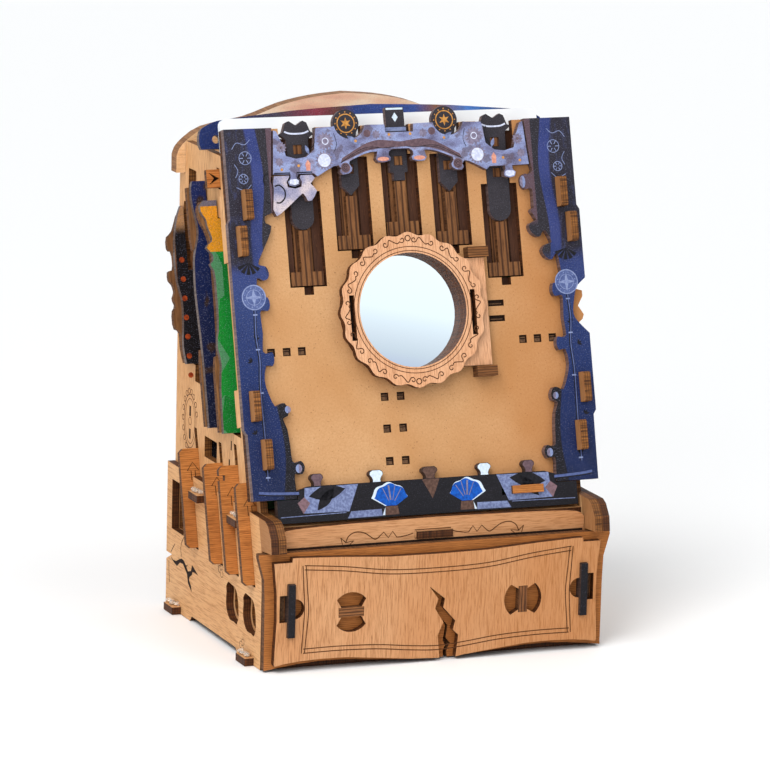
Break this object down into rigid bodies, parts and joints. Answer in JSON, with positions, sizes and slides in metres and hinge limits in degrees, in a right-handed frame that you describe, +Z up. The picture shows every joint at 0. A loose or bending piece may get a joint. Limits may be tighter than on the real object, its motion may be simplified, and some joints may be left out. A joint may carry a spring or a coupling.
{
  "type": "wooden box with drawer",
  "caption": "Laser-cut wooden puzzle box with a drawer, leaning front panel, pull-up sliders, mirror door and picture boards",
  "frame": {"origin": "centre of the underside of the base, on the surface that the box stands on", "axes": "+Z up, +X to the right seen from the front, -Y towards the drawer front"},
  "size_m": [0.1624, 0.1267, 0.2239],
  "materials": {
    "birch_ply": "raw light plywood with laser-burnt edges",
    "burnt_ply": "laser-engraved brown plywood",
    "fibreboard": "raw tan fibreboard with fine specks",
    "printed_blue": "matt print on plywood",
    "printed_grey_blue": "matt print on plywood",
    "printed_green": "matt print on plywood",
    "printed_navy": "matt print on plywood",
    "printed_red": "matt print on plywood",
    "printed_coral": "matt print on light plywood",
    "charcoal_board": "matt charcoal print on board",
    "black_board": "matt black print on board",
    "pale_acrylic": "pale glossy acrylic",
    "mirror": "silvered acrylic mirror"
  },
  "bodies": {
    "box": {"base_floor": "birch_ply", "base_deck": "birch_ply", "base_wall_left": "birch_ply", "base_wall_right": "birch_ply", "base_back_panel": "birch_ply", "case_wall_left": "birch_ply", "case_wall_right": "birch_ply", "case_back_panel": "birch_ply", "rear_arch_board": "printed_coral", "front_brace_left": "birch_ply", "front_brace_right": "birch_ply", "front_fascia": "birch_ply", "front_rail": "birch_ply", "layer_front": "printed_green", "layer_front_backing": "burnt_ply", "layer_middle": "printed_navy", "layer_middle_backing": "burnt_ply", "layer_rear": "printed_red", "layer_rear_backing": "burnt_ply", "arrow_bar": "burnt_ply", "front_panel_board": "fibreboard", "channel_back_board": "burnt_ply", "border_left": "printed_blue", "border_right": "printed_blue", "border_top": "printed_grey_blue", "corner_piece": "printed_grey_blue", "skirt_board": "black_board", "skirt_peg": "burnt_ply", "top_strip": "pale_acrylic", "hinge_bracket_top": "burnt_ply", "hinge_bracket_bottom": "burnt_ply"},
    "drawer": {"drawer_front_inner": "burnt_ply", "drawer_front_face": "birch_ply", "drawer_grip_left": "burnt_ply", "drawer_grip_right": "burnt_ply", "drawer_bar_left": "black_board", "drawer_bar_right": "black_board", "drawer_side_left": "birch_ply", "drawer_side_right": "birch_ply", "drawer_back": "birch_ply", "drawer_bottom": "birch_ply"},
    "slider_one": {"slider_1": "charcoal_board", "slider_1_carriage": "burnt_ply"},
    "slider_two": {"slider_2": "charcoal_board", "slider_2_carriage": "burnt_ply"},
    "slider_three": {"slider_3": "charcoal_board", "slider_3_carriage": "burnt_ply"},
    "slider_four": {"slider_4": "charcoal_board", "slider_4_carriage": "burnt_ply"},
    "slider_five": {"slider_5": "charcoal_board", "slider_5_carriage": "burnt_ply"},
    "arrow_one": {"arrow_slider_1": "burnt_ply"},
    "arrow_two": {"arrow_slider_2": "burnt_ply"},
    "arrow_three": {"arrow_slider_3": "burnt_ply"},
    "arrow_four": {"arrow_slider_4": "burnt_ply"},
    "mirror_door": {"mirror_ring": "birch_ply", "mirror_plate": "birch_ply", "mirror_glass": "mirror"}
  },
  "joints": [
    {"name": "drawer_slide", "type": "slide", "parent": "box", "child": "drawer", "axis": [0, -1, 0], "range_m": [0, 0.08]},
    {"name": "slider_1_lift", "type": "slide", "parent": "box", "child": "slider_one", "axis": [0, 0.2756, 0.9613], "range_m": [0, 0.02]},
    {"name": "slider_2_lift", "type": "slide", "parent": "box", "child": "slider_two", "axis": [0, 0.2756, 0.9613], "range_m": [0, 0.02]},
    {"name": "slider_3_lift", "type": "slide", "parent": "box", "child": "slider_three", "axis": [0, 0.2756, 0.9613], "range_m": [0, 0.02]},
    {"name": "slider_4_lift", "type": "slide", "parent": "box", "child": "slider_four", "axis": [0, 0.2756, 0.9613], "range_m": [0, 0.02]},
    {"name": "slider_5_lift", "type": "slide", "parent": "box", "child": "slider_five", "axis": [0, 0.2756, 0.9613], "range_m": [0, 0.02]},
    {"name": "arrow_1_lift", "type": "slide", "parent": "box", "child": "arrow_one", "axis": [0, 0.2756, 0.9613], "range_m": [0, 0.008]},
    {"name": "arrow_2_lift", "type": "slide", "parent": "box", "child": "arrow_two", "axis": [0, 0.2756, 0.9613], "range_m": [0, 0.008]},
    {"name": "arrow_3_lift", "type": "slide", "parent": "box", "child": "arrow_three", "axis": [0, 0.2756, 0.9613], "range_m": [0, 0.008]},
    {"name": "arrow_4_lift", "type": "slide", "parent": "box", "child": "arrow_four", "axis": [0, 0.2756, 0.9613], "range_m": [0, 0.008]},
    {"name": "mirror_hinge", "type": "hinge", "parent": "box", "child": "mirror_door", "pos_m": [0.0312, -0.02721, 0.14194], "axis": [0, 0.2756, 0.9613], "range_deg": [0, 100]}
  ]
}
